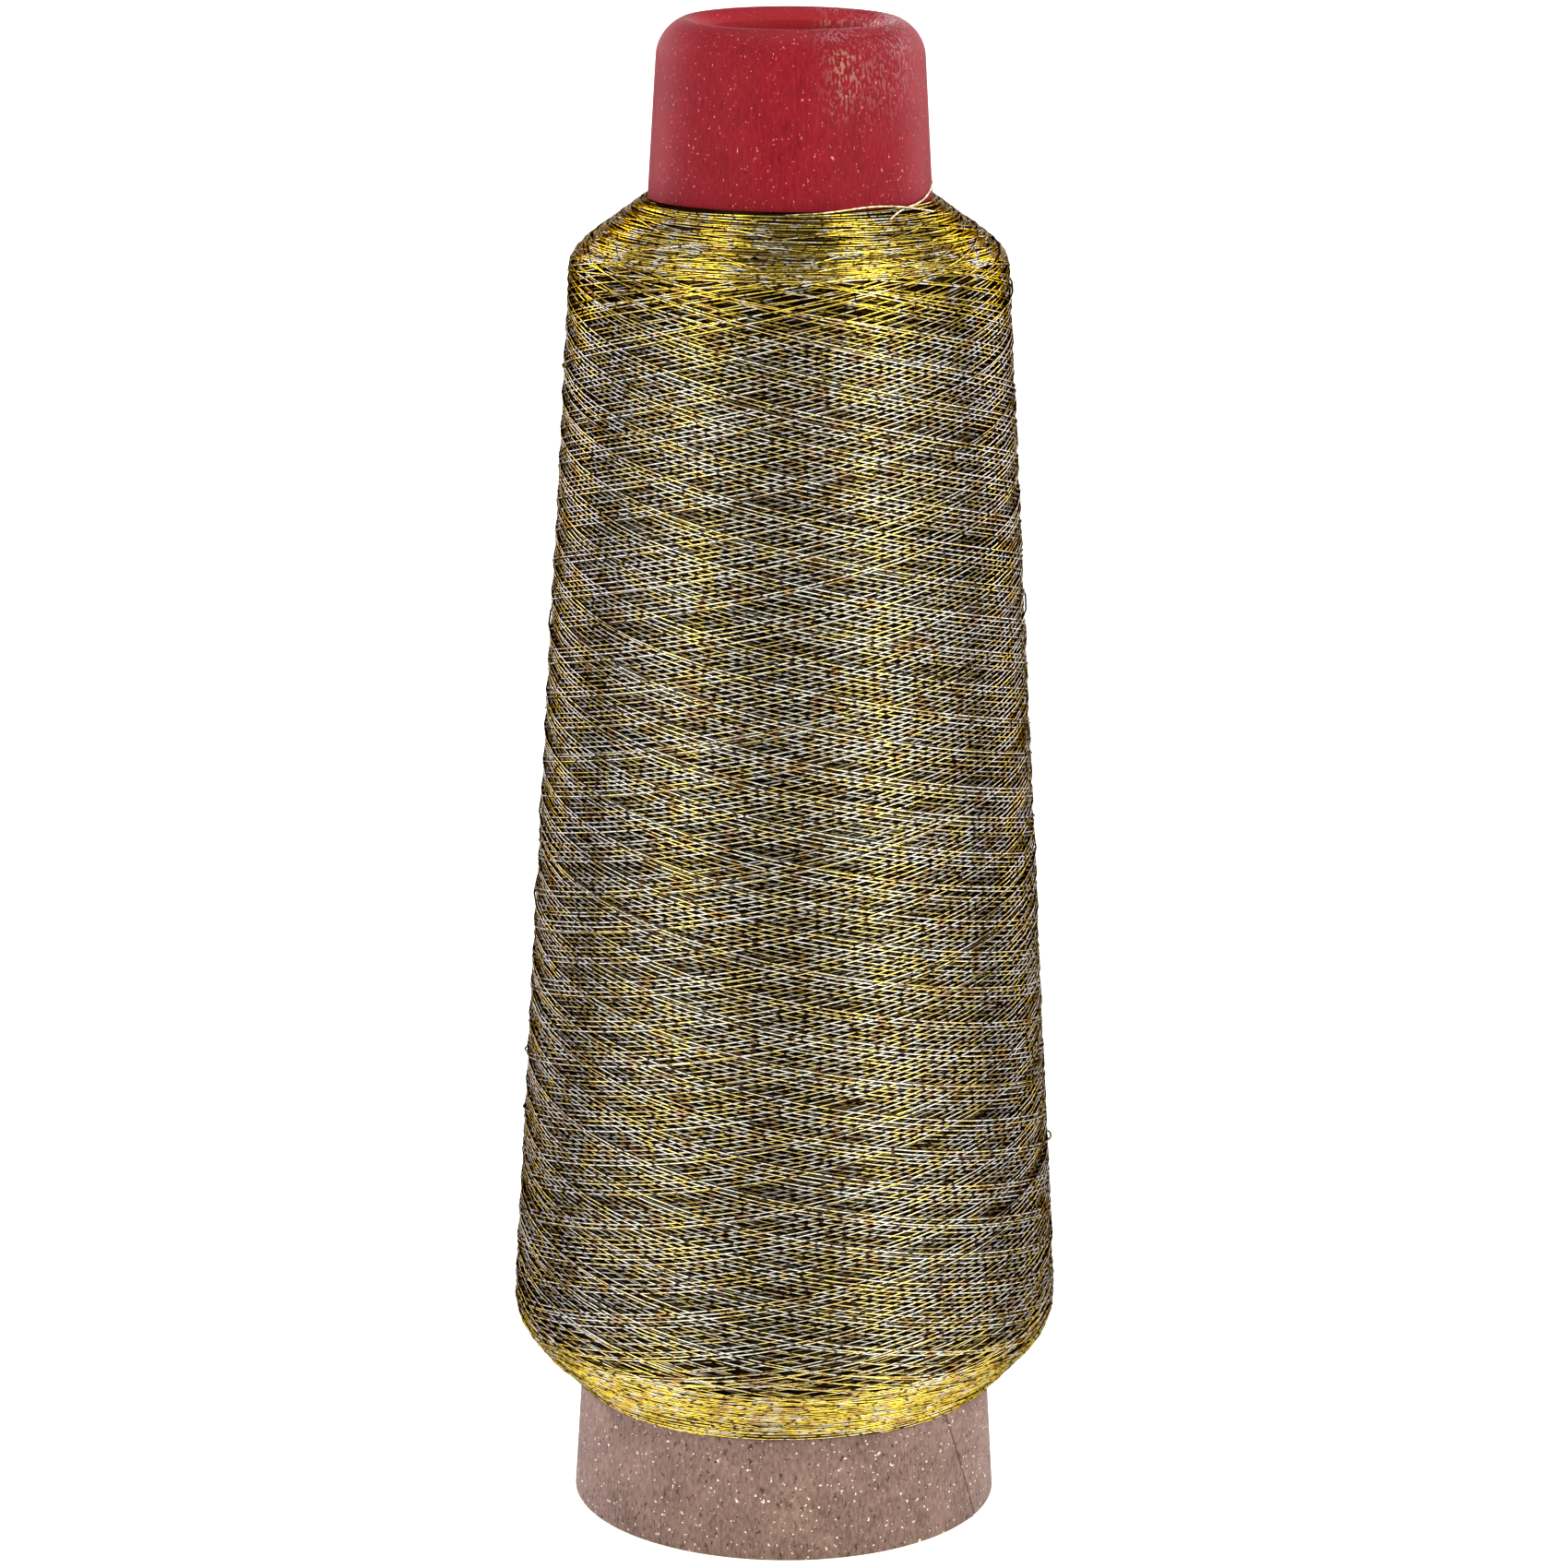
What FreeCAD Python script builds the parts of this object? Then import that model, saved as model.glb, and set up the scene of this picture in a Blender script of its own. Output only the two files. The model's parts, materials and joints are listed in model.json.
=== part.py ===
"""Tall paper cone wound with metallic thread, as used on embroidery machines and thread stands.

Everything is turned about +Z. The origin is the middle of the wide end's rim, which the cone
stands on, and the narrow end, the nose, points up. All lengths are millimetres.
"""
import FreeCAD, Part
import math
import os

# Paper cone
cone_height = 170.0
base_radius = 24.3
cone_half_angle = math.radians(3.0 + 20.0 / 60.0)
ply_thickness = 0.5
ply_names = ["outer_ply", "third_ply", "second_ply", "inner_ply"]
nose_rounding = 4.55
base_edge_rounding = 0.25

# Glued seam of the outermost turn: a slanted hairline that the nose's burnishing closes
seam_width = 0.14
seam_angle_at_base = -26.0
seam_twist_per_mm = -0.93
seam_top = 149.0
seam_steps = 12

# Colour coat on the nose
coat_thickness = 0.1
coat_start = 148.5

# Winding, a build of constant thickness with rounded shoulders and sloping ends
winding_foot = 13.5
winding_head = 150.8
winding_build = 8.45
foot_slope = math.radians(44.5)
head_slope = math.radians(53.5)
foot_shoulder = 8.0
head_shoulder = 4.5
surface_layers = 1.0

# Starting bunch, the turns that lock the thread's first end
bunch_middle = 21.0
bunch_width = 4.0
bunch_height = 0.9

taper = math.tan(cone_half_angle)
slant = math.cos(cone_half_angle)


def cone_radius(z, depth=0.0):
    """Radius of the cone's outside at height z, or of a surface that lies depth inside it."""
    return base_radius - z * taper - depth / slant


def point(radius, z):
    """A point of a half section, in the plane of X and Z."""
    return FreeCAD.Vector(radius, 0, z)


def rounded_section(corners):
    """A closed face from (point, radius) corners, with a tangent arc at each radius above zero."""
    edges = []
    starts = []
    ends = []
    count = len(corners)
    for i, (corner, radius) in enumerate(corners):
        back = (corners[i - 1][0] - corner).normalize()
        onward = (corners[(i + 1) % count][0] - corner).normalize()
        if radius == 0:
            starts.append(corner)
            ends.append(corner)
            continue
        half = back.getAngle(onward) / 2
        reach = radius / math.tan(half)
        middle = (back + onward).normalize()
        crown = corner + middle * (radius / math.sin(half) - radius)
        starts.append(corner + back * reach)
        ends.append(corner + onward * reach)
        edges.append(Part.Arc(starts[i], crown, ends[i]).toShape())
    for i in range(count):
        edges.append(Part.LineSegment(ends[i], starts[(i + 1) % count]).toShape())
    wire = Part.Wire(Part.__sortEdges__(edges))
    return Part.Face(wire)


def turned(face):
    """The solid that a half section sweeps in one full turn about Z."""
    return face.revolve(FreeCAD.Vector(0, 0, 0), FreeCAD.Vector(0, 0, 1), 360)


# Centre of the nose's rounding, which is also where the turned-in paper ends
nose_centre_z = cone_height - nose_rounding
mouth_radius = cone_radius(nose_centre_z, nose_rounding)


def nose_arc(radius):
    """The nose's rounding at one depth of paper: its first point, a middle one and its last."""
    first = cone_half_angle
    last = math.pi / 2
    points = []
    for angle in (first, (first + last) / 2, last):
        across = mouth_radius + radius * math.cos(angle)
        up = nose_centre_z + radius * math.sin(angle)
        points.append(point(across, up))
    return points


def cone_shell(depth, thickness, start_z, edge_rounding=0.0):
    """One turn of paper or coat: up the cone, over the rounded nose and in to the mouth."""
    outside = nose_arc(nose_rounding - depth)
    inside = nose_arc(nose_rounding - depth - thickness)
    foot_outside = point(cone_radius(start_z, depth), start_z)
    foot_inside = point(cone_radius(start_z, depth + thickness), start_z)
    edges = [
        Part.LineSegment(foot_inside, foot_outside).toShape(),
        Part.LineSegment(foot_outside, outside[0]).toShape(),
        Part.Arc(*outside).toShape(),
        Part.LineSegment(outside[2], inside[2]).toShape(),
        Part.Arc(*reversed(inside)).toShape(),
        Part.LineSegment(inside[0], foot_inside).toShape(),
    ]
    shell = turned(Part.Face(Part.Wire(edges)))
    if edge_rounding > 0:
        rims = [edge for edge in shell.Edges if is_rim(edge, foot_outside)]
        shell = shell.makeFillet(edge_rounding, rims)
    return shell


def is_rim(edge, rim_point):
    """True for the circular edge that runs through rim_point."""
    near = edge.distToShape(Part.Vertex(rim_point))[0] < 0.001
    level = edge.BoundBox.ZLength < 0.001
    return near and level and edge.BoundBox.XLength > rim_point.x


def seam_cutter():
    """A thin twisting blade through the outermost turn, from below the base to under the head."""
    low = -1.0
    rise = (seam_top - low) / seam_steps
    blades = []
    for step in range(seam_steps + 1):
        z = low + step * rise
        inner = cone_radius(z, ply_thickness)
        outer = cone_radius(z) + 1.0
        half = seam_width / 2
        corners = [(inner, -half), (outer, -half), (outer, half), (inner, half)]
        wire = Part.makePolygon([FreeCAD.Vector(x, y, z) for x, y in corners + corners[:1]])
        angle = seam_angle_at_base + seam_twist_per_mm * (z - low)
        wire.rotate(FreeCAD.Vector(0, 0, 0), FreeCAD.Vector(0, 0, 1), angle)
        blades.append(wire)
    return Part.makeLoft(blades, True, True)


def winding_section(inset):
    """Half section of the whole package, or of the part of it that lies inset under its surface."""
    foot = winding_foot + inset / math.sin(foot_slope)
    head = winding_head - inset / math.sin(head_slope)
    build = winding_build - inset
    foot_rate = math.tan(foot_slope) + taper
    head_rate = math.tan(head_slope) - taper
    foot_corner_z = foot + build / foot_rate
    head_corner_z = head - build / head_rate
    corners = [
        (point(cone_radius(foot), foot), 0),
        (point(cone_radius(foot_corner_z) + build, foot_corner_z), foot_shoulder - inset),
        (point(cone_radius(head_corner_z) + build, head_corner_z), head_shoulder - inset),
        (point(cone_radius(head), head), 0),
    ]
    return rounded_section(corners)


def starting_bunch():
    """A low rounded ring of turns on the cone, buried under the winding."""
    low = bunch_middle - bunch_width / 2
    high = bunch_middle + bunch_width / 2
    edge = bunch_height * 0.6
    corners = [
        (point(cone_radius(low), low), 0),
        (point(cone_radius(low) + bunch_height, low), edge),
        (point(cone_radius(high) + bunch_height, high), edge),
        (point(cone_radius(high), high), 0),
    ]
    return turned(rounded_section(corners))


def paper_plies():
    """The turns of the rolled blank, outermost first."""
    plies = {}
    for turn, name in enumerate(ply_names):
        outermost = turn == 0
        rounding = base_edge_rounding if outermost else 0.0
        ply = cone_shell(turn * ply_thickness, ply_thickness, 0.0, rounding)
        if outermost:
            ply = ply.cut(seam_cutter())
        plies[name] = ply
    return plies


def winding():
    """The thread: its starting bunch, its buried turns and its visible layers."""
    bunch = starting_bunch()
    buried = turned(winding_section(surface_layers))
    package = turned(winding_section(0.0))
    coat_bed = cone_shell(-coat_thickness, coat_thickness, coat_start)
    return {
        "starting_bunch": bunch,
        "winding_core": buried.cut(bunch).cut(coat_bed),
        "winding_surface": package.cut(buried).cut(coat_bed),
    }


nodes = paper_plies()
nodes["nose_colour_coat"] = cone_shell(-coat_thickness, coat_thickness, coat_start)
nodes.update(winding())

os.makedirs("parts", exist_ok=True)
for name, shape in nodes.items():
    shape.exportStep("parts/" + name + ".step")
    volume = shape.Volume
    print(f"{name}: {len(shape.Solids)} solid, {volume:.1f} mm3, valid {shape.isValid()}")
print(f"mouth radius {mouth_radius:.3f}")
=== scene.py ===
"""The looks of a tall paper cone wound with metallic thread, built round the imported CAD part.

Lengths are metres, +Z is up, and the cone stands on its wide end with its axis on Z.
"""
import json
import math
import bpy
import bmesh
from mathutils import Matrix, Vector


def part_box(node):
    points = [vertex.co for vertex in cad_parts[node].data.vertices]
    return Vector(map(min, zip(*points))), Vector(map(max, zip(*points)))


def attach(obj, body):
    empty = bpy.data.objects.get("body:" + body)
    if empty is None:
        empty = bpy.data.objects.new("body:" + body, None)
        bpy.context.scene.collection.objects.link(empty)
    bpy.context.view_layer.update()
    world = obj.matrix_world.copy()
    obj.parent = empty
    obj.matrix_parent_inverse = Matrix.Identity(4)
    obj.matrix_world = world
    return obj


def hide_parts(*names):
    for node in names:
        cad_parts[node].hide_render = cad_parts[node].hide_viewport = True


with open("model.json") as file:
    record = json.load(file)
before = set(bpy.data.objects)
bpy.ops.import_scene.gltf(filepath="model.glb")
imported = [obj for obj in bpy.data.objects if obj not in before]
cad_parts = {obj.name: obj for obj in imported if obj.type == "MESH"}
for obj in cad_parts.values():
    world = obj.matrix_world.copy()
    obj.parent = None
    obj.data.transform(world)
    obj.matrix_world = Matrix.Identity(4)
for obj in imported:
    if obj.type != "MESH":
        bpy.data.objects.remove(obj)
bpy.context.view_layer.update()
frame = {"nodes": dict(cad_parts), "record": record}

MM = 0.001


# ---------------------------------------------------------------- sizes

def mount_radius(name):
    """The radius of one of the record's round mounts, in metres."""
    mount = next(m for m in frame["record"]["mounts"] if m["name"] == name)
    return mount["dims"]["r_mm"] * MM


def half_width(node):
    """Half of a node's size along X."""
    low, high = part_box(node)
    return (high[0] - low[0]) / 2


BASE_RADIUS = half_width("outer_ply")
CONE_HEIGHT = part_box("outer_ply")[1][2]
HALF_ANGLE = math.radians(3 + 20 / 60)
TAPER = math.tan(HALF_ANGLE)
SLANT = math.cos(HALF_ANGLE)
MOUTH_RADIUS = mount_radius("nose_bore")
PLY_NAMES = ["outer_ply", "third_ply", "second_ply", "inner_ply"]
PLY = (BASE_RADIUS - half_width("third_ply")) * SLANT
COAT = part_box("nose_colour_coat")[1][2] - CONE_HEIGHT
COAT_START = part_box("nose_colour_coat")[0][2]
NOSE_ROUNDING = (BASE_RADIUS - CONE_HEIGHT * TAPER - MOUTH_RADIUS) / (1 / SLANT - TAPER)
NOSE_CENTRE = CONE_HEIGHT - NOSE_ROUNDING

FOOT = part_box("winding_surface")[0][2]
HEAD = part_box("winding_surface")[1][2]
BUILD = 8.45 * MM
FOOT_RATE = math.tan(math.radians(44.5)) + TAPER
HEAD_RATE = math.tan(math.radians(53.5)) - TAPER
FOOT_SHOULDER = 4.4 * MM
HEAD_SHOULDER = 2.8 * MM

THREAD_RADIUS = 0.12 * MM
SEGMENTS_PER_TURN = 44
THREAD_SIDES = 6
# There and back takes this many turns, so each double stroke lies beside the tenth one before it
TURNS_PER_STROKE = 8.70143
STROKES_PER_COVER = 70
COVERS = 3
RISE_PER_COVER = 0.30 * MM
PIECES_OF_THREAD = 7

# How far turns stray up or down, how deep strokes differ, and how far slack turns stand off
WANDER = 0.5 * MM
LEVEL_SPREAD = 0.14 * MM
SLACK = 2.4 * MM
SEED = 3.0

# The rolled-in nose: its ridge, how far the lip dips to the mouth, and how unevenly it was rolled
RIDGE_RADIUS = 11.9 * MM
LIP_DROP = 1.6 * MM
NOSE_SINK = 0.3 * MM
NOSE_TILT = 0.022
PAPER_EDGE_EASING = 0.07 * MM
COAT_EDGE_EASING = 0.02 * MM

SEAM_AT_BASE = math.radians(-26)
SEAM_TWIST = math.radians(-0.93) / MM
SEAM_TOP = 149 * MM
# Angles round from the seam and how far the paper stands out there: a raised lap, then the slit
SEAM_COLUMNS = [
    (math.radians(-2.0), 0.03 * MM),
    (math.radians(-0.9), 0.12 * MM),
    (math.radians(-0.62), 0.10 * MM),
    (math.radians(-0.52), -0.40 * MM),
    (math.radians(0.52), -0.40 * MM),
    (math.radians(0.60), -0.02 * MM),
    (math.radians(0.9), 0.0),
    (math.radians(2.0), 0.0),
]

SEGMENTS_ROUND = 180
ARC_STEPS = 24
BED_STEPS = 220

# Loose strands: degrees round from the front, height and lift off the nose, the last two in mm
STRAND_OVER_NOSE = [
    (38, 149.3, 1.6),
    (46, 150.0, 0.4),
    (66, 150.4, 0.3),
    (90, 152.3, 0.3),
    (120, 151.6, 0.3),
    (142, 150.0, 0.4),
    (154, 149.0, 1.6),
]
STRAND_AT_HEAD = [
    (-16, 149.2, 1.4),
    (-6, 149.9, 0.3),
    (14, 150.1, 0.1),
    (34, 150.7, 0.2),
    (52, 150.2, 0.6),
    (64, 149.4, 1.4),
]


def cone_radius(z, depth=0.0):
    """Radius of the cone's outside at height z, or of a surface that lies depth inside it."""
    return BASE_RADIUS - z * TAPER - depth / SLANT


# ---------------------------------------------------------------- colours

# The film between its painted glints; in soft places, slopes, flat places and worn places; its
# painted shade on strand sides and deeper strands; and the tint of its gloss seen nearly edge-on
FILM_BETWEEN_GLINTS = (0.085, 0.053, 0.040)
FILM_PALE = (0.96, 0.92, 0.93)
FILM_RICH = (0.96, 0.75, 0.30)
FILM_GOLDEN = (0.97, 0.69, 0.10)
FILM_AMBER = (0.58, 0.31, 0.11)
FILM_SHADED = (0.011, 0.006, 0.002)
FILM_GRAZING = (0.42, 0.32, 0.18, 1)

LOOSE_DULL = (0.42, 0.30, 0.12)
LOOSE_BRIGHT = (0.96, 0.88, 0.62)
# The bed's colours are painted shade: buried gold thread darkened for the shade between running
# turns
BED_PAINTED_SHADE = (0.02, 0.010, 0.003)
BED_LIGHT = (0.46, 0.34, 0.14)

BOARD_DARK = (0.081, 0.045, 0.045)
BOARD_LIGHT = (0.256, 0.160, 0.160)
BOARD_SPECK = (0.035, 0.018, 0.015)
BOARD_FIBRE = (0.86, 0.80, 0.79)
SLIT_PAINTED_SHADE = (0.02, 0.010, 0.009)

CRIMSON = (0.27, 0.012, 0.020)
DYE_DARK = (0.108, 0.003, 0.009)
DYE_LIGHT = (0.222, 0.009, 0.021)
DYE_SPECK = (0.08, 0.004, 0.008)
DYE_FIBRE = (0.72, 0.26, 0.26)
MOUTH_PAINTED_LIGHT = (0.42, 0.025, 0.045)

WARM = (1.0, 0.98, 0.57)
WHITE = (1.0, 1.0, 1.0)


# ---------------------------------------------------------------- node trees as expressions

class Wire:
    """An output socket that Python expressions work on, by adding Math nodes."""

    def __init__(self, maker, socket):
        self.maker = maker
        self.socket = socket

    def __add__(self, other):
        return self.maker.math("ADD", self, other)

    def __sub__(self, other):
        return self.maker.math("SUBTRACT", self, other)

    def __rsub__(self, other):
        return self.maker.math("SUBTRACT", other, self)

    def __mul__(self, other):
        return self.maker.math("MULTIPLY", self, other)

    def __truediv__(self, other):
        return self.maker.math("DIVIDE", self, other)

    def __rtruediv__(self, other):
        return self.maker.math("DIVIDE", other, self)

    __radd__ = __add__
    __rmul__ = __mul__


class Maker:
    """Adds nodes to one tree."""

    def __init__(self, tree):
        self.tree = tree

    def make(self, kind, values=None, output=0, **settings):
        """Adds a node with its settings, then its sockets' values or links. Gives one output."""
        node = self.tree.nodes.new(kind)
        for name, value in settings.items():
            setattr(node, name, value)
        for key, value in (values or {}).items():
            if isinstance(value, Wire):
                self.tree.links.new(value.socket, node.inputs[key])
            else:
                node.inputs[key].default_value = value
        return Wire(self, node.outputs[output])

    def math(self, operation, *values):
        """A Math node on numbers or wires."""
        return self.make("ShaderNodeMath", dict(enumerate(values)), operation=operation)

    def noise(self, vector, scale, detail=2.0, roughness=0.5):
        """Three-dimensional noise from 0 to 1 about 0.5."""
        values = {
            "Vector": vector,
            "Scale": scale,
            "Detail": detail,
            "Roughness": roughness,
        }
        return self.make("ShaderNodeTexNoise", values, noise_dimensions="3D")

    def line_noise(self, place, detail=1.0):
        """One-dimensional noise from 0 to 1 about 0.5."""
        values = {"W": place, "Scale": 1.0, "Detail": detail}
        return self.make("ShaderNodeTexNoise", values, noise_dimensions="1D")

    def smooth_step(self, value, low, high):
        """0 below low, 1 above high and a smooth rise between them."""
        values = {"Value": value, "From Min": low, "From Max": high}
        return self.make("ShaderNodeMapRange", values, interpolation_type="SMOOTHSTEP")

    def colour_mix(self, share, first, second):
        """One colour blended into another."""
        values = {0: share, 6: rgba(first), 7: rgba(second)}
        return self.make("ShaderNodeMix", values, output=2, data_type="RGBA")

    def stretched(self, vector, scale):
        """A position scaled on each axis."""
        return self.make("ShaderNodeMapping", {"Vector": vector, "Scale": scale})


def rgba(colour):
    """A colour tuple with its alpha, or the wire as it is."""
    if isinstance(colour, Wire):
        return colour
    return (*colour, 1.0)


# ---------------------------------------------------------------- materials

def new_material(name):
    """An empty material, its node maker and its Principled shader."""
    material = bpy.data.materials.new(name)
    material.use_nodes = True
    tree = material.node_tree
    shader = tree.nodes["Principled BSDF"]
    return material, Maker(tree), shader


def drive(maker, shader, name, value):
    """Links a wire to one of the shader's sockets."""
    maker.tree.links.new(value.socket, shader.inputs[name])


def object_place(maker):
    """The point's position in the object's own frame."""
    return maker.make("ShaderNodeTexCoord", output=3)


def bump(maker, shader, height, distance, strength=1.0):
    """Raises the surface by height times distance."""
    values = {"Height": height, "Distance": distance, "Strength": strength}
    drive(maker, shader, "Normal", maker.make("ShaderNodeBump", values))


def metallic_thread():
    """Metallised film round a fine yarn: flat places flash yellow, the rest is paler and softer."""
    material, maker, shader = new_material("gold_thread")
    place = object_place(maker)
    along = maker.make("ShaderNodeAttribute", output=2, attribute_name="along")
    outward = maker.make("ShaderNodeAttribute", output=2, attribute_name="outward")
    depth = maker.make("ShaderNodeAttribute", output=2, attribute_name="depth")
    glint = maker.line_noise(along / (0.8 * MM), detail=2.0)
    up = maker.make("ShaderNodeSeparateXYZ", {0: place}, output=2)
    head_slope = maker.smooth_step(up, HEAD - 16 * MM, HEAD - 9 * MM)
    foot_slope = 1 - maker.smooth_step(up, FOOT + 6 * MM, FOOT + 14 * MM)
    slope = head_slope + foot_slope
    spread = maker.stretched(place, (520, 520, 1100))
    flat = maker.noise(spread, 1.0, detail=3.0, roughness=0.7)
    cloud = maker.noise(place, 1 / (6 * MM), detail=1.0) - 0.5
    flat = maker.smooth_step(flat + slope * 0.06 + cloud * 0.20, 0.45, 0.57)
    worn = maker.smooth_step(maker.noise(place, 1 / (2.0 * MM), detail=2.5), 0.52, 0.68)
    soft_film = maker.colour_mix(head_slope * 0.2 + foot_slope * 0.55, FILM_PALE, FILM_RICH)
    flat_film = maker.colour_mix(slope, FILM_RICH, FILM_GOLDEN)
    film = maker.colour_mix(flat, soft_film, flat_film)
    film = maker.colour_mix(worn * 0.75, film, FILM_AMBER)
    # Painted glints: short dashes along each strand blend from a dark tone into the film colour
    colour = maker.colour_mix(maker.smooth_step(glint, 0.27, 0.50), FILM_BETWEEN_GLINTS, film)
    # Painted shade: each strand darkens towards FILM_SHADED on its sides and where it lies deeper
    sunken_shade = maker.smooth_step(depth, 0.08 * MM, 0.54 * MM)
    painted_lit = maker.smooth_step(outward, 0.56, 1.0) * (1 - sunken_shade)
    drive(maker, shader, "Base Color", maker.colour_mix(painted_lit, FILM_SHADED, colour))
    drive(maker, shader, "Roughness", 0.40 - flat * 0.27 + glint * 0.1)
    bump(maker, shader, glint, 0.02 * MM, 0.5)
    shader.inputs["Metallic"].default_value = 1.0
    shader.inputs["Specular Tint"].default_value = FILM_GRAZING
    return material


def plain_strand():
    """The same film on a strand that lies free of its neighbours."""
    material, maker, shader = new_material("loose_thread")
    place = object_place(maker)
    # Painted glints: the strand's colour runs from dull to bright in short dashes
    glint = maker.noise(place, 1 / (0.5 * MM), detail=1.0)
    tone = maker.smooth_step(glint, 0.36, 0.6)
    drive(maker, shader, "Base Color", maker.colour_mix(tone, LOOSE_DULL, LOOSE_BRIGHT))
    shader.inputs["Metallic"].default_value = 1.0
    shader.inputs["Roughness"].default_value = 0.42
    return material


def bed_of_thread():
    """The closed bed of older turns, seen only between the running ones and darkened as painted
    shade.
    """
    material, maker, shader = new_material("buried_thread")
    place = object_place(maker)
    rows = maker.noise(maker.stretched(place, (150, 150, 3000)), 1.0)
    lines = maker.smooth_step(rows, 0.35, 0.65)
    drive(maker, shader, "Base Color", maker.colour_mix(lines, BED_PAINTED_SHADE, BED_LIGHT))
    bump(maker, shader, lines, 0.1 * MM, 0.8)
    shader.inputs["Metallic"].default_value = 1.0
    shader.inputs["Roughness"].default_value = 0.5
    return material


def shifted(maker, place):
    """The position moved along, so that a second pattern doesn't follow the first."""
    return maker.make("ShaderNodeVectorMath", {0: place, 1: (0.31, 0.17, 0.23)}, operation="ADD")


def flecks(maker, place, size, rarity, stretch=(1, 1, 1)):
    """Small ragged specks, from 0 to 1: only the peaks of a fine noise."""
    cells = maker.stretched(place, tuple(s / size for s in stretch))
    return maker.smooth_step(maker.noise(cells, 1.0, detail=1.5), rarity, rarity + 0.05)


def recycled_board():
    """Grey-mauve recycled board: short fibres up the cone, pale and dark flecks, a dyed mouth."""
    material, maker, shader = new_material("recycled_board")
    place = object_place(maker)
    fibre = maker.noise(maker.stretched(place, (3200, 3200, 1300)), 1.0, detail=3.0, roughness=0.6)
    cloud = maker.noise(place, 1 / (5 * MM), detail=4.0, roughness=0.6)
    tone = fibre * 1.9 + cloud * 1.0 - 0.95
    board = maker.colour_mix(tone, BOARD_DARK, BOARD_LIGHT)
    pale = flecks(maker, place, 0.42 * MM, 0.68)
    dark = flecks(maker, shifted(maker, place), 0.5 * MM, 0.65, (1, 1, 0.7))
    hair = flecks(maker, shifted(maker, place), 0.75 * MM, 0.70, (2.4, 2.4, 0.5))
    board = maker.colour_mix(maker.math("MAXIMUM", dark, hair) * 0.85, board, BOARD_SPECK)
    board = maker.colour_mix(pale * 0.95, board, BOARD_FIBRE)
    # Painted shade: the paper darkens in the seam's slit
    slit = maker.make("ShaderNodeAttribute", output=2, attribute_name="slit")
    board = maker.colour_mix(maker.smooth_step(slit, 0.3, 0.9) * 0.9, board, SLIT_PAINTED_SHADE)
    drive(maker, shader, "Base Color", maker.colour_mix(dyed_mouth(maker, place), board, CRIMSON))
    drive(maker, shader, "Roughness", 0.72 + fibre * 0.2)
    bump(maker, shader, fibre + cloud * 0.5 + pale * 0.4 - dark * 0.4, 0.05 * MM, 0.7)
    shader.inputs["Specular IOR Level"].default_value = 0.3
    return material


def axis_distance(maker, place):
    """How far the point lies from the cone's axis."""
    flat = maker.make("ShaderNodeVectorMath", {0: place, 1: (1, 1, 0)}, operation="MULTIPLY")
    return maker.make("ShaderNodeVectorMath", {0: flat}, output=1, operation="LENGTH")


def dyed_mouth(maker, place):
    """1 on the paper that the dye has soaked into: the cut edges of the turns in the mouth."""
    across = axis_distance(maker, place)
    up = maker.make("ShaderNodeSeparateXYZ", {0: place}, output=2)
    ragged = maker.noise(place, 1 / (1.2 * MM), detail=2.0) * (1.4 * MM)
    near = 1 - maker.smooth_step(across + ragged, MOUTH_RADIUS + 1.3 * MM, MOUTH_RADIUS + 2.1 * MM)
    high = maker.smooth_step(up, CONE_HEIGHT - 4 * MM, CONE_HEIGHT - 3 * MM)
    return near * high


def dyed_nose():
    """Crimson dye on burnished board: faint streaks, light fibres, a broken gloss on one side."""
    material, maker, shader = new_material("dyed_nose")
    place = object_place(maker)
    streak = maker.noise(maker.stretched(place, (3200, 3200, 900)), 1.0, detail=4.0, roughness=0.65)
    cloud = maker.noise(place, 1 / (5 * MM), detail=3.0, roughness=0.55)
    red = maker.colour_mix(streak * 1.9 + cloud * 0.7 - 0.8, DYE_DARK, DYE_LIGHT)
    pale = flecks(maker, place, 0.25 * MM, 0.69, (1, 1, 0.65))
    dark = flecks(maker, shifted(maker, place), 0.60 * MM, 0.70, (1, 1, 0.5))
    red = maker.colour_mix(dark * 0.6, red, DYE_SPECK)
    red = maker.colour_mix(pale * 0.7, red, DYE_FIBRE)
    # Painted light: the dye is made lighter on the wall inside the mouth
    across = axis_distance(maker, place)
    inside = 1 - maker.smooth_step(across, MOUTH_RADIUS, MOUTH_RADIUS + 1.4 * MM)
    red = maker.colour_mix(inside * 0.45, red, MOUTH_PAINTED_LIGHT)
    drive(maker, shader, "Base Color", red)
    drive(maker, shader, "Roughness", 0.36 + streak * 0.3)
    dash = maker.noise(maker.stretched(place, (3400, 3400, 1500)), 1.0, detail=1.0)
    up = maker.make("ShaderNodeSeparateXYZ", {0: place}, output=2)
    right = maker.make("ShaderNodeSeparateXYZ", {0: place}, output=0)
    high = maker.smooth_step(up + cloud * (8 * MM), CONE_HEIGHT - 9 * MM, CONE_HEIGHT - 2 * MM)
    beyond = maker.smooth_step(right, 10 * MM, 14 * MM)
    polished = high * maker.smooth_step(right, 1 * MM, 6 * MM) * (1 - beyond)
    drive(maker, shader, "Coat Weight", maker.smooth_step(dash, 0.50, 0.60) * polished)
    height = streak + cloud * 0.6 + pale * 0.3 + dash * polished * 3.0
    bump(maker, shader, height, 0.06 * MM, 0.6)
    shader.inputs["Coat Roughness"].default_value = 0.3
    shader.inputs["Specular IOR Level"].default_value = 0.06
    return material


def studio_paper():
    """The pale floor, a sheet that glows a little so that hardly a shadow lies on it."""
    material, _, shader = new_material("studio_paper")
    shader.inputs["Base Color"].default_value = (0.93, 0.93, 0.93, 1)
    shader.inputs["Emission Color"].default_value = (1, 1, 1, 1)
    shader.inputs["Emission Strength"].default_value = 0.48
    shader.inputs["Roughness"].default_value = 0.9
    return material


# ---------------------------------------------------------------- the winding

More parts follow.
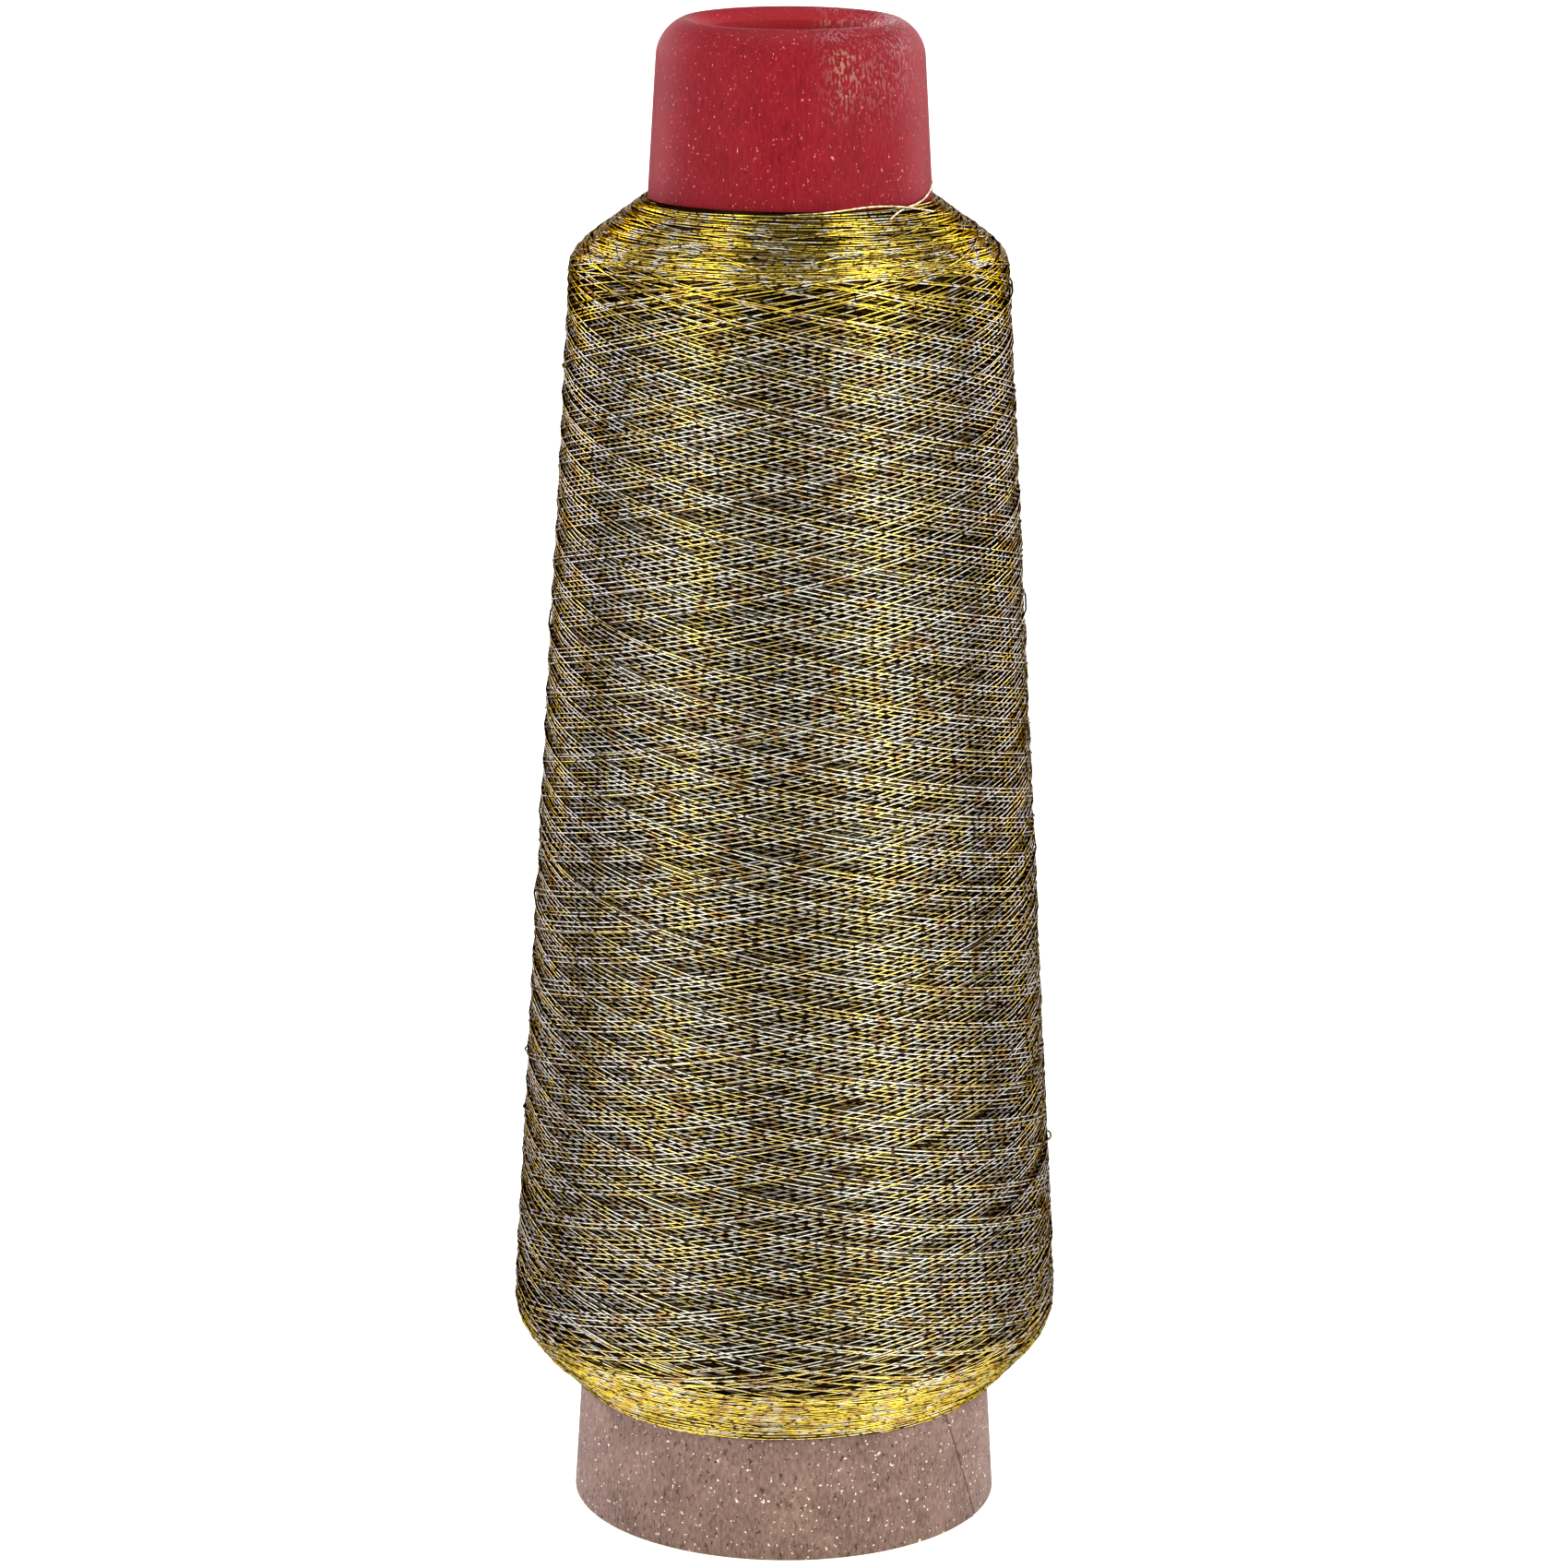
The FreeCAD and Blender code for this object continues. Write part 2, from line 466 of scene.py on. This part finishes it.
def winding_tree():
    """The running thread: one long curve laid on the package to and fro, given its thickness."""
    tree = bpy.data.node_groups.new("cross_winding", "GeometryNodeTree")
    inputs = [
        ("Turns", "NodeSocketFloat"),
        ("First turn", "NodeSocketFloat"),
        ("Last turn", "NodeSocketFloat"),
        ("Segments per turn", "NodeSocketInt"),
        ("Turns per stroke", "NodeSocketFloat"),
        ("Turns per cover", "NodeSocketFloat"),
        ("Rise per cover", "NodeSocketFloat"),
        ("Foot", "NodeSocketFloat"),
        ("Head", "NodeSocketFloat"),
        ("Base radius", "NodeSocketFloat"),
        ("Taper", "NodeSocketFloat"),
        ("Build", "NodeSocketFloat"),
        ("Foot rate", "NodeSocketFloat"),
        ("Head rate", "NodeSocketFloat"),
        ("Foot shoulder", "NodeSocketFloat"),
        ("Head shoulder", "NodeSocketFloat"),
        ("Thread radius", "NodeSocketFloat"),
        ("Thread sides", "NodeSocketInt"),
        ("Wander", "NodeSocketFloat"),
        ("Level spread", "NodeSocketFloat"),
        ("Slack", "NodeSocketFloat"),
        ("Seed", "NodeSocketFloat"),
        ("Thread", "NodeSocketMaterial"),
    ]
    for name, kind in inputs:
        tree.interface.new_socket(name, in_out="INPUT", socket_type=kind)
    tree.interface.new_socket("Geometry", in_out="OUTPUT", socket_type="NodeSocketGeometry")
    maker = Maker(tree)
    group = tree.nodes.new("NodeGroupInput")
    given = {name: Wire(maker, group.outputs[name]) for name, _ in inputs}

    index = maker.make("GeometryNodeInputIndex")
    turn = given["First turn"] + index / given["Segments per turn"]
    stroke = turn / given["Turns per stroke"]
    height = thread_height(maker, given, turn, stroke)
    radius, depth = thread_distance(maker, given, turn, stroke, height)
    angle = turn * (2 * math.pi)
    across = radius * maker.math("COSINE", angle)
    forward = radius * maker.math("SINE", angle)
    place = maker.make("ShaderNodeCombineXYZ", {0: across, 1: forward, 2: height})

    count = given["Turns"] * given["Segments per turn"] + 1
    points = maker.make("GeometryNodeMeshLine", {"Count": count})
    points = maker.make("GeometryNodeSetPosition", {"Geometry": points, "Position": place})
    curve = maker.make("GeometryNodeMeshToCurve", {"Mesh": points})
    curve = maker.make("GeometryNodeSetCurveNormal", {"Curve": curve}, mode="Z_UP")
    curve = stored(maker, curve, "along", angle * given["Base radius"])
    curve = stored(maker, curve, "depth", depth)
    ring_size = {"Resolution": given["Thread sides"], "Radius": given["Thread radius"]}
    ring = maker.make("GeometryNodeCurvePrimitiveCircle", ring_size, mode="RADIUS")
    side = maker.make("GeometryNodeSplineParameter") * (2 * math.pi)
    ring = stored(maker, ring, "outward", maker.math("COSINE", side))
    tube_parts = {"Curve": curve, "Profile Curve": ring, "Fill Caps": True}
    tube = maker.make("GeometryNodeCurveToMesh", tube_parts)
    tube = maker.make("GeometryNodeSetShadeSmooth", {"Geometry": tube})
    tube = maker.make("GeometryNodeRealizeInstances", {"Geometry": tube})
    tube = maker.make("GeometryNodeSetMaterial", {"Geometry": tube, "Material": given["Thread"]})
    end = tree.nodes.new("NodeGroupOutput")
    tree.links.new(tube.socket, end.inputs[0])
    return tree


def stored(maker, geometry, name, value):
    """The geometry with a named number on each point."""
    values = {"Geometry": geometry, "Name": name, "Value": value}
    return maker.make(
        "GeometryNodeStoreNamedAttribute", values, data_type="FLOAT", domain="POINT"
    )


def thread_height(maker, given, turn, stroke):
    """How high the thread lies: to and fro at an even speed, each stroke with its own ends."""
    even_part = 0.8
    full_speed = 2 / (1 + even_part)
    phase = maker.math("FRACT", stroke + 0.25)
    swing = 1 - 4 * maker.math("ABSOLUTE", phase - 0.5)
    reach = maker.math("ABSOLUTE", swing)
    slowing = maker.math("MAXIMUM", reach - even_part, 0.0) / (1 - even_part)
    share = full_speed * (reach - slowing * slowing * ((1 - even_part) / 2))
    upward = maker.math("SIGN", swing)
    first = given["Foot"] + given["Thread radius"] * 1.5
    last = given["Head"] - given["Thread radius"] * 1.5
    middle = (first + last) * 0.5
    dwell = given["Build"] * 1.4
    full = middle + upward * share * ((last - first) * 0.5 + dwell * 0.45)
    wander = maker.line_noise(turn * 1.7 + given["Seed"]) - 0.5
    full = full + wander * given["Wander"] * (1 - maker.smooth_step(reach, 0.8, 1.0))
    count = maker.math("FLOOR", stroke + 0.25)
    foot_pick = maker.math("FRACT", count * 0.7548777 + 0.3)
    head_pick = maker.math("FRACT", count * 0.6180340 * 0.37)
    lowest = first + foot_pick * given["Build"] / given["Foot rate"]
    highest = last - head_pick * given["Build"] / given["Head rate"]
    kept = maker.math("SMOOTH_MIN", full, highest, dwell)
    return maker.math("SMOOTH_MAX", kept, lowest, dwell)


def package_radius(maker, given, height):
    """The package's outside: an even build on the cone, sloping ends and rounded shoulders."""
    cone = given["Base radius"] - height * given["Taper"]
    body = given["Build"]
    foot = (height - given["Foot"]) * given["Foot rate"]
    head = (given["Head"] - height) * given["Head rate"]
    rounded = maker.math("SMOOTH_MIN", body, foot, given["Foot shoulder"])
    rounded = maker.math("SMOOTH_MIN", rounded, head, given["Head shoulder"])
    return cone, maker.math("MAXIMUM", rounded, 0.0)


def thread_distance(maker, given, turn, stroke, height):
    """How far out the thread lies: on the turns before it, with a little slack here and there."""
    cone, build = package_radius(maker, given, height)
    sunk = (given["Last turn"] - turn) / given["Turns per cover"] * given["Rise per cover"]
    run = maker.math("FLOOR", stroke * 2.0 + 0.5) + given["Seed"]
    level = maker.make("ShaderNodeTexWhiteNoise", {"W": run}, noise_dimensions="1D")
    slack = maker.line_noise(turn * 3.1 + given["Seed"] * 2.0 + 40.0)
    loose = maker.math("MAXIMUM", slack - 0.66, 0.0) * given["Slack"]
    depth = sunk + level * given["Level spread"]
    laid = maker.math("MAXIMUM", build - depth, given["Thread radius"] * 2.0)
    return cone + laid - given["Thread radius"] + loose, depth


def set_inputs(modifier, values):
    """Sets a Geometry Nodes modifier's inputs through their sockets' identifiers."""
    for item in modifier.node_group.interface.items_tree:
        if item.item_type == "SOCKET" and item.in_out == "INPUT" and item.name in values:
            modifier[item.identifier] = values[item.name]


def grown(name, tree, values):
    """A plain mesh object made by a Geometry Nodes tree."""
    carrier = bpy.data.objects.new(name + "_carrier", bpy.data.meshes.new(name + "_carrier"))
    bpy.context.collection.objects.link(carrier)
    modifier = carrier.modifiers.new("grow", "NODES")
    modifier.node_group = tree
    set_inputs(modifier, values)
    carrier.update_tag()
    bpy.context.view_layer.update()
    depsgraph = bpy.context.evaluated_depsgraph_get()
    mesh = bpy.data.meshes.new_from_object(
        carrier.evaluated_get(depsgraph), preserve_all_data_layers=True, depsgraph=depsgraph
    )
    mesh.name = name
    piece = bpy.data.objects.new(name, mesh)
    bpy.context.collection.objects.link(piece)
    bpy.data.objects.remove(carrier)
    return piece


def thread_turns():
    """The visible turns, in the order in which they were laid, as several pieces of one thread."""
    tree = winding_tree()
    turns_per_cover = TURNS_PER_STROKE * STROKES_PER_COVER
    all_turns = turns_per_cover * COVERS
    each = all_turns / PIECES_OF_THREAD
    values = {
        "Turns": each,
        "Last turn": all_turns,
        "Segments per turn": SEGMENTS_PER_TURN,
        "Turns per stroke": TURNS_PER_STROKE,
        "Turns per cover": turns_per_cover,
        "Rise per cover": RISE_PER_COVER,
        "Foot": FOOT,
        "Head": HEAD,
        "Base radius": BASE_RADIUS,
        "Taper": TAPER,
        "Build": BUILD,
        "Foot rate": FOOT_RATE,
        "Head rate": HEAD_RATE,
        "Foot shoulder": FOOT_SHOULDER,
        "Head shoulder": HEAD_SHOULDER,
        "Thread radius": THREAD_RADIUS,
        "Thread sides": THREAD_SIDES,
        "Wander": WANDER,
        "Level spread": LEVEL_SPREAD,
        "Slack": SLACK,
        "Seed": SEED,
        "Thread": gold_thread,
    }
    pieces = []
    for part in range(PIECES_OF_THREAD):
        values["First turn"] = part * each
        pieces.append(grown(f"thread_turns_{part + 1}", tree, values))
    return pieces


def loose_strand(name, points):
    """A strand that has slipped off the end of the package, along a few chosen points."""
    curve = bpy.data.curves.new(name, "CURVE")
    curve.dimensions = "3D"
    curve.bevel_depth = THREAD_RADIUS
    curve.bevel_resolution = 2
    curve.resolution_u = 12
    curve.use_fill_caps = True
    spline = curve.splines.new("NURBS")
    spline.points.add(len(points) - 1)
    for point, (degrees, height, lift) in zip(spline.points, points):
        angle = math.radians(degrees - 90)
        z = height * MM
        reach = cone_radius(z) + COAT + THREAD_RADIUS * 1.1 + lift * MM
        point.co = (reach * math.cos(angle), reach * math.sin(angle), z, 1)
    spline.order_u = 3
    spline.use_endpoint_u = True
    carrier = bpy.data.objects.new(name + "_curve", curve)
    bpy.context.collection.objects.link(carrier)
    bpy.context.view_layer.update()
    depsgraph = bpy.context.evaluated_depsgraph_get()
    mesh = bpy.data.meshes.new_from_object(carrier.evaluated_get(depsgraph))
    mesh.materials.clear()
    mesh.shade_smooth()
    piece = bpy.data.objects.new(name, mesh)
    bpy.context.collection.objects.link(piece)
    bpy.data.objects.remove(carrier)
    return piece


# ---------------------------------------------------------------- turned pieces

def smooth_min(a, b, distance):
    """The lesser of two numbers, rounded where they meet, as a Smooth Minimum node has it."""
    if distance <= 0:
        return min(a, b)
    near = max(distance - abs(a - b), 0) / distance
    return min(a, b) - near ** 3 * distance / 6


def bed_build(z, sunk):
    """Thickness of the winding at height z, under the visible turns."""
    foot = (z - FOOT) * FOOT_RATE
    head = (HEAD - z) * HEAD_RATE
    rounded = smooth_min(smooth_min(BUILD, foot, FOOT_SHOULDER), head, HEAD_SHOULDER)
    return max(rounded - sunk, 0.0)


def turned(name, outline, seam=False):
    """A closed solid of revolution. outline is its half section; seam gives it a slanted groove."""
    bm = bmesh.new()
    columns = [(2 * math.pi * k / SEGMENTS_ROUND, 0.0) for k in range(SEGMENTS_ROUND)]
    if seam:
        columns = SEAM_COLUMNS + columns[2:-1]
    rows = []
    for radius, z in outline:
        shift = SEAM_AT_BASE + SEAM_TWIST * z if seam else 0.0
        outer = seam and z < SEAM_TOP and radius > cone_radius(z, PLY / 2)
        row = []
        for angle, offset in columns:
            reach = radius + (offset if outer else 0.0)
            angle = angle + shift
            row.append(bm.verts.new((reach * math.cos(angle), reach * math.sin(angle), z)))
        rows.append(row)
    for i, row in enumerate(rows):
        following = rows[(i + 1) % len(rows)]
        for k in range(len(row)):
            after = (k + 1) % len(row)
            bm.faces.new((row[k], row[after], following[after], following[k]))
    bmesh.ops.recalc_face_normals(bm, faces=bm.faces)
    mesh = bpy.data.meshes.new(name)
    bm.to_mesh(mesh)
    bm.free()
    mesh.shade_smooth()
    if seam:
        slit = mesh.attributes.new("slit", "FLOAT", "POINT")
        for row in range(len(outline)):
            for k, (_, offset) in enumerate(columns):
                slit.data[row * len(columns) + k].value = 1.0 if offset < -0.1 * MM else 0.0
    piece = bpy.data.objects.new(name, mesh)
    bpy.context.collection.objects.link(piece)
    return piece


def nose_arc(radius, steps):
    """The nose's rounding at one depth of paper, over its ridge and down a little to the mouth."""
    first = HALF_ANGLE
    points = []
    for i in range(steps + 1):
        angle = first + (math.pi / 2 - first) * i / steps
        across = MOUTH_RADIUS + radius * math.cos(angle)
        inward = max(RIDGE_RADIUS - across, 0) / (RIDGE_RADIUS - MOUTH_RADIUS)
        points.append((across, NOSE_CENTRE + radius * math.sin(angle) - inward ** 2 * LIP_DROP))
    return points


def uneven_nose(piece):
    """Sinks and tilts the rolled-in top by a fraction of a millimetre, as rolling leaves it."""
    for vertex in piece.data.vertices:
        place = vertex.co
        share = min(max((place.z - NOSE_CENTRE + 6 * MM) / (10 * MM), 0), 1)
        share = share * share * (3 - 2 * share)
        place.z += share * (place.y * NOSE_TILT - NOSE_SINK)


def shell_outline(depth, thickness, start, easing, mouth=None):
    """Half section of one turn of paper or coat, with its cut edges eased."""
    rise = NOSE_CENTRE - start
    steps = max(2, round(rise / (4 * MM)))
    heights = [start + rise * i / steps for i in range(steps)]
    heights = [start + easing] + heights[1:]
    outside = [(cone_radius(z, depth), z) for z in heights]
    inside = [(cone_radius(z, depth + thickness), z) for z in heights]
    outside = [(cone_radius(start, depth) - easing, start)] + outside
    inside = [(cone_radius(start, depth + thickness) + easing, start)] + inside
    outer_arc = nose_arc(NOSE_ROUNDING - depth, ARC_STEPS)
    inner_arc = nose_arc(NOSE_ROUNDING - depth - thickness, ARC_STEPS)
    return outside + outer_arc + (mouth or []) + inner_arc[::-1] + inside[::-1]


def buried_turns():
    """The closed bed under the visible turns, down to the cone."""
    sunk = COVERS * RISE_PER_COVER + 0.05 * MM
    low = FOOT + 0.8 * MM
    high = HEAD - 0.6 * MM
    heights = [low + (high - low) * i / BED_STEPS for i in range(BED_STEPS + 1)]
    outside = [(cone_radius(z) + bed_build(z, sunk) + 0.02 * MM, z) for z in heights]
    inside = [(cone_radius(z), z) for z in (high, low)]
    return turned("buried_turns", outside + inside)


def nose_coat():
    """The colour coat on the nose, over its ridge and down the wall of the mouth."""
    top = nose_arc(NOSE_ROUNDING, ARC_STEPS)[-1][1]
    low = NOSE_CENTRE + NOSE_ROUNDING - len(PLY_NAMES) * PLY - LIP_DROP
    mouth = [(MOUTH_RADIUS - COAT / 2, z) for z in (top, top - 1 * MM, low)]
    mouth.append((MOUTH_RADIUS, low))
    coat = turned("nose_coat", shell_outline(-COAT, COAT, COAT_START, COAT_EDGE_EASING, mouth))
    uneven_nose(coat)
    return coat


def paper_turns():
    """The four turns of the rolled blank, outermost first."""
    pieces = {}
    for turn, name in enumerate(PLY_NAMES):
        outline = shell_outline(turn * PLY, PLY, 0.0, PAPER_EDGE_EASING)
        piece = turned(name + "_paper", outline, seam=turn == 0)
        uneven_nose(piece)
        pieces[name] = piece
    return pieces


# ---------------------------------------------------------------- studio

CAMERA_PLACE = (-0.36 * MM, -546 * MM, 217.7 * MM)
CAMERA_PITCH = math.radians(90 - 13.79)
CAMERA_ROLL = math.radians(0.27)
CAMERA_LENS = 114.4


def area_light(name, azimuth, elevation, distance, width, height, power, colour):
    """A softbox that faces the middle of the cone. Azimuth 0 is at the camera, 90 at +X."""
    light = bpy.data.lights.new(name, "AREA")
    light.shape = "RECTANGLE"
    light.size = width
    light.size_y = height
    light.energy = power
    light.color = colour
    lamp = bpy.data.objects.new(name, light)
    bpy.context.collection.objects.link(lamp)
    a = math.radians(azimuth)
    e = math.radians(elevation)
    away = Vector((math.sin(a) * math.cos(e), -math.cos(a) * math.cos(e), math.sin(e)))
    lamp.location = away * distance + Vector((0, 0, CONE_HEIGHT / 2))
    lamp.rotation_euler = away.to_track_quat("Z", "Y").to_euler()
    lamp.visible_camera = False
    return lamp


def overhead(name, strength, spread):
    """A broad even light from above and a little behind, which keeps the floor pale."""
    light = bpy.data.lights.new(name, "SUN")
    light.energy = strength
    light.angle = math.radians(spread)
    lamp = bpy.data.objects.new(name, light)
    bpy.context.collection.objects.link(lamp)
    lamp.rotation_euler = (math.radians(-8), 0, 0)
    return lamp


def studio():
    """The floor in two halves, of which gloss sees only the front one, then lights and camera."""
    paper = studio_paper()
    for name, y in (("floor_in_front", -3), ("floor_behind", 3)):
        bpy.ops.mesh.primitive_plane_add(size=1, location=(0, y, 0))
        floor = bpy.context.object
        floor.name = name
        floor.scale = (12, 6, 1)
        floor.data.materials.append(paper)
        floor.visible_glossy = y < 0
    # Azimuth, elevation, distance, width, height, power and colour of each softbox
    area_light("softbox_right", 46, 26, 0.95, 0.32, 0.9, 7.3, WARM)
    area_light("softbox_left", -47, 26, 0.95, 0.30, 0.9, 5.0, WARM)
    area_light("side_panel_right", 86, 28, 0.95, 0.9, 0.9, 3.3, WHITE)
    area_light("side_panel_left", -86, 28, 0.95, 0.9, 0.9, 3.3, WHITE)
    area_light("rim_right", 125, 12, 0.95, 0.5, 0.7, 4.8, WHITE)
    area_light("rim_left", -125, 12, 0.95, 0.5, 0.7, 4.8, WHITE)
    area_light("backdrop", 180, 16, 2.6, 4.4, 1.5, 34, WHITE)
    overhead("overhead", 2.15, 50)
    world = bpy.data.worlds.new("studio_air")
    world.use_nodes = True
    world.node_tree.nodes["Background"].inputs[0].default_value = (1, 1, 1, 1)
    world.node_tree.nodes["Background"].inputs[1].default_value = 0.18
    bpy.context.scene.world = world
    bpy.context.scene.view_settings.view_transform = "Standard"

    camera = bpy.data.cameras.new("camera")
    camera.sensor_width = 36
    camera.lens = CAMERA_LENS
    camera.clip_start = 0.05
    eye = bpy.data.objects.new("camera", camera)
    bpy.context.collection.objects.link(eye)
    turn = Matrix.Rotation(CAMERA_PITCH, 4, "X") @ Matrix.Rotation(CAMERA_ROLL, 4, "Z")
    eye.matrix_world = Matrix.Translation(CAMERA_PLACE) @ turn
    bpy.context.scene.camera = eye


# ---------------------------------------------------------------- assembly

def finished(piece, slot, material, *nodes):
    """Gives a piece its material and body, and hides the CAD nodes that it stands for."""
    if not piece.data.materials:
        piece.data.materials.append(material)
    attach(piece, "root")
    if nodes:
        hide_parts(*nodes)


studio()
gold_thread = metallic_thread()
loose_thread = plain_strand()
buried_thread = bed_of_thread()
board = recycled_board()
crimson_nose = dyed_nose()

for number, turns in enumerate(thread_turns()):
    nodes = ["winding_surface"] if number == 0 else []
    finished(turns, "thread", gold_thread, *nodes)

finished(loose_strand("strand_over_nose", STRAND_OVER_NOSE), "thread", loose_thread)
finished(loose_strand("strand_at_head", STRAND_AT_HEAD), "thread", loose_thread)

finished(buried_turns(), "thread", buried_thread, "winding_core")

for name, piece in paper_turns().items():
    finished(piece, "cone_paper", board, name)

finished(nose_coat(), "nose_colour", crimson_nose, "nose_colour_coat")

for slot in frame["nodes"]["starting_bunch"].material_slots:
    slot.material = buried_thread
